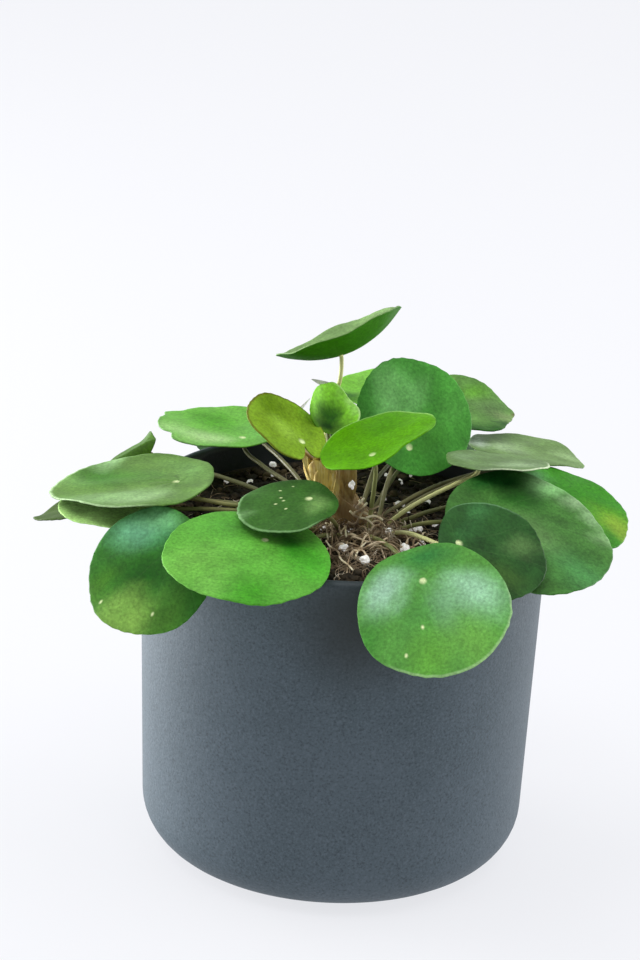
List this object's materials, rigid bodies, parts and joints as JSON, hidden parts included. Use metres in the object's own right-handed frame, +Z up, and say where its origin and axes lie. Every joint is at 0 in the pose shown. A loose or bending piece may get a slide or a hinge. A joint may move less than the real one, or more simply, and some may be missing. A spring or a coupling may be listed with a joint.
{
  "type": "potted chinese money plant",
  "caption": "Low houseplant with round leaves on thin stalks from a short leaning trunk, in a round matte slate pot filled with soil.",
  "frame": {"origin": "middle of the pot's flat base, where it stands", "axes": "+Z up through the pot's axis, -Y towards the pictured front of the plant, +X to the front's right"},
  "size_m": [0.2466, 0.2415, 0.2366],
  "materials": {
    "pot": "matte, finely speckled slate blue-grey",
    "soil": "dark crumbly potting soil with white grains",
    "bark": "papery brown and golden sheaths",
    "leaf_green": "smooth, softly glossy",
    "leaf_dark": "smooth, softly glossy",
    "leaf_lime": "smooth, softly glossy",
    "leaf_olive": "smooth, softly glossy",
    "leaf_pale": "smooth, with a pale sheen",
    "stalk": "pale tan-green, satin"
  },
  "bodies": {
    "root": {"pot": "pot", "soil": "soil", "trunk": "bark", "leaf_top": "leaf_green", "stalk_top": "stalk", "leaf_young_olive": "leaf_olive", "stalk_young_olive": "stalk", "leaf_young_upright": "leaf_lime", "stalk_young_upright": "stalk", "leaf_bright_centre": "leaf_lime", "stalk_bright_centre": "stalk", "leaf_round_back": "leaf_green", "stalk_round_back": "stalk", "leaf_back_right_bright": "leaf_lime", "stalk_back_right_bright": "stalk", "leaf_back_right": "leaf_pale", "stalk_back_right": "stalk", "leaf_right_upper": "leaf_pale", "stalk_right_upper": "stalk", "leaf_right_edge_on": "leaf_pale", "stalk_right_edge_on": "stalk", "leaf_right_rear": "leaf_green", "stalk_right_rear": "stalk", "leaf_right_large": "leaf_dark", "stalk_right_large": "stalk", "leaf_right_inner": "leaf_dark", "stalk_right_inner": "stalk", "leaf_front_right": "leaf_green", "stalk_front_right": "stalk", "leaf_front_left": "leaf_lime", "stalk_front_left": "stalk", "leaf_front_small": "leaf_dark", "stalk_front_small": "stalk", "leaf_left_large": "leaf_dark", "stalk_left_large": "stalk", "leaf_left_top": "leaf_pale", "stalk_left_top": "stalk", "leaf_left_under": "leaf_olive", "stalk_left_under": "stalk", "leaf_left_tip": "leaf_green", "stalk_left_tip": "stalk", "leaf_left_low": "leaf_dark", "stalk_left_low": "stalk", "leaf_back_left": "leaf_pale", "stalk_back_left": "stalk", "leaf_rear_left": "leaf_green", "stalk_rear_left": "stalk", "leaf_rear_middle": "leaf_dark", "stalk_rear_middle": "stalk", "leaf_rear_right": "leaf_green", "stalk_rear_right": "stalk", "leaf_rear_far_right": "leaf_dark", "stalk_rear_far_right": "stalk"}
  },
  "joints": []
}
